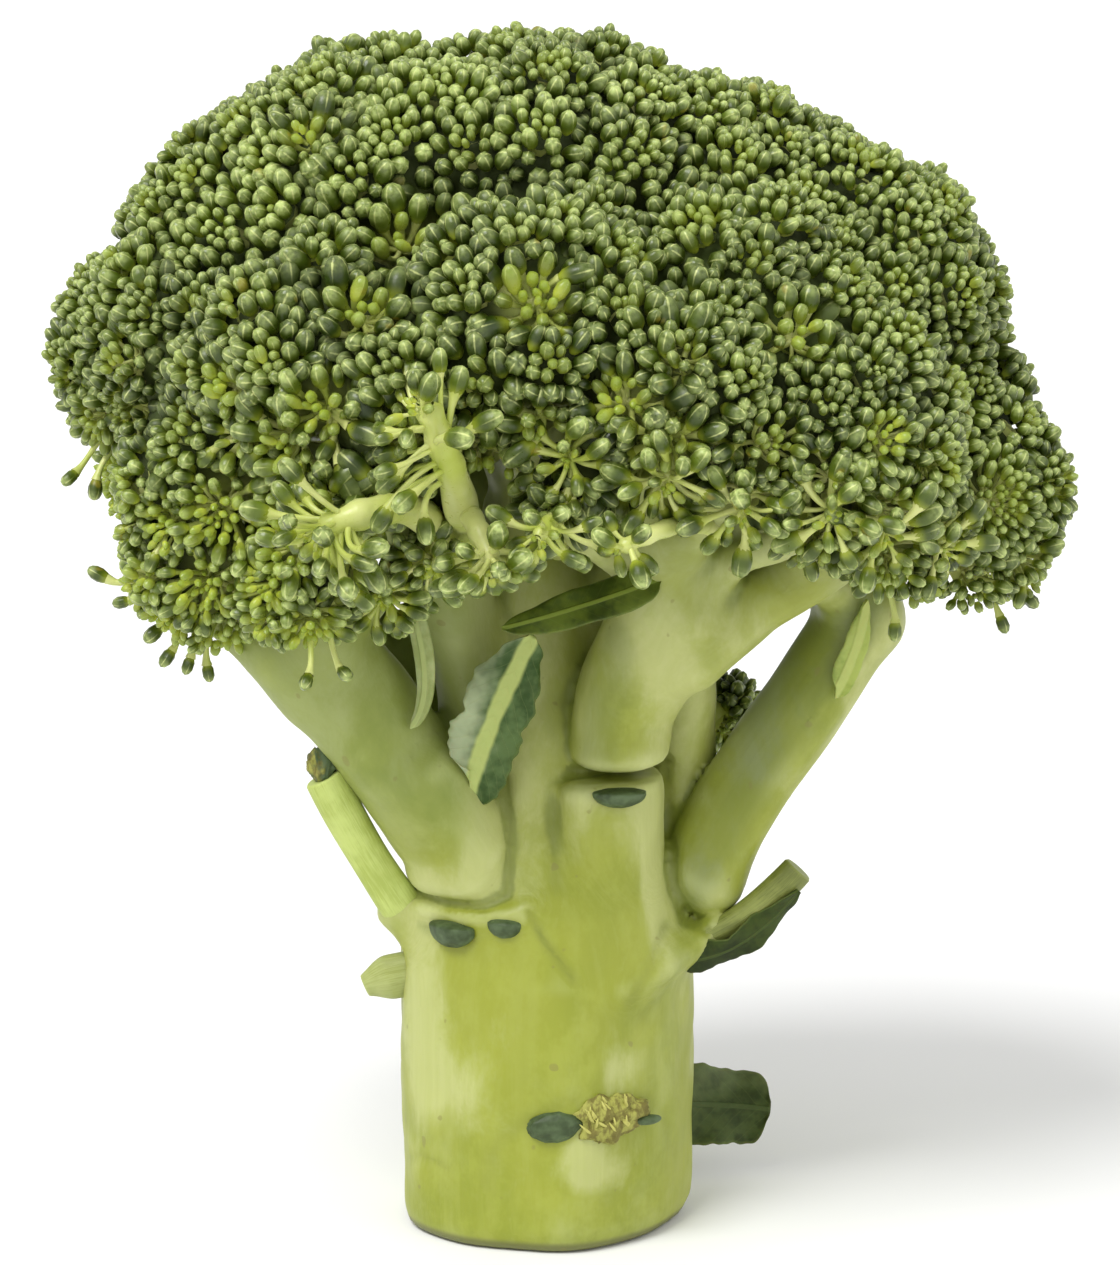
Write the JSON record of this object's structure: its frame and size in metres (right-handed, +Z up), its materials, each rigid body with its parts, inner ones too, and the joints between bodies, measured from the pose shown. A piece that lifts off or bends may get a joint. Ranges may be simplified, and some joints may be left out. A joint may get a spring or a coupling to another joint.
{
  "type": "broccoli head",
  "caption": "Fresh broccoli head standing on its cut stalk: thick pale stalk, forked branches, domed crown of green bud clusters, small shoots and leaf remnants.",
  "frame": {"origin": "centre of the flat cut face at the bottom of the stalk", "axes": "+Z up along the stalk; the front, with the leaf scar, faces -Y"},
  "size_m": [0.167, 0.1367, 0.1956],
  "materials": {
    "stalk": null,
    "floret": null,
    "shoot": null,
    "leaf_stalk": null,
    "leaf": null,
    "scar": null
  },
  "bodies": {
    "root": {"stalk": "stalk", "branch_front_right": "stalk", "branch_left": "stalk", "branch_front_left": "stalk", "branch_right": "stalk", "branch_left_back": "stalk", "branch_back": "stalk", "branch_back_right": "stalk", "floret_top": "floret", "floret_top_left": "floret", "floret_top_right": "floret", "floret_top_back": "floret", "floret_front_middle": "floret", "floret_front_left": "floret", "floret_front_left_low": "floret", "floret_inner_left": "floret", "floret_front_right_high": "floret", "floret_front_right": "floret", "floret_right_front": "floret", "floret_rim_front": "floret", "floret_right_high": "floret", "floret_right": "floret", "floret_right_low": "floret", "floret_right_front_low": "floret", "floret_left_high": "floret", "floret_left": "floret", "floret_far_left": "floret", "floret_left_inner": "floret", "floret_left_low": "floret", "floret_front_low_left": "floret", "floret_back_left": "floret", "floret_back_right": "floret", "floret_rim_back_left": "floret", "floret_rim_back_left_mid": "floret", "floret_rim_back": "floret", "floret_rim_back_right_mid": "floret", "floret_rim_back_right": "floret", "floret_back_low": "floret", "floret_rim_middle": "floret", "floret_rim_left": "floret", "floret_rim_right": "floret", "shoot_left_high": "shoot", "shoot_left_bent": "shoot", "shoot_left_hanging": "shoot", "shoot_middle": "shoot", "shoot_right": "shoot", "leaf_stalk_left": "leaf_stalk", "leaf_stalk_left_low": "leaf_stalk", "leaf_stalk_right": "leaf_stalk", "leaf_narrow": "leaf", "leaf_broad": "leaf", "leaf_strip": "leaf", "leaf_sliver": "leaf", "leaf_right": "leaf", "leaf_low": "leaf", "scrap_left_stub": "scar", "scrap_left_ledge": "leaf", "scrap_left_ledge_small": "leaf", "scrap_right_ledge": "leaf", "leaf_scar": "scar"}
  },
  "joints": []
}
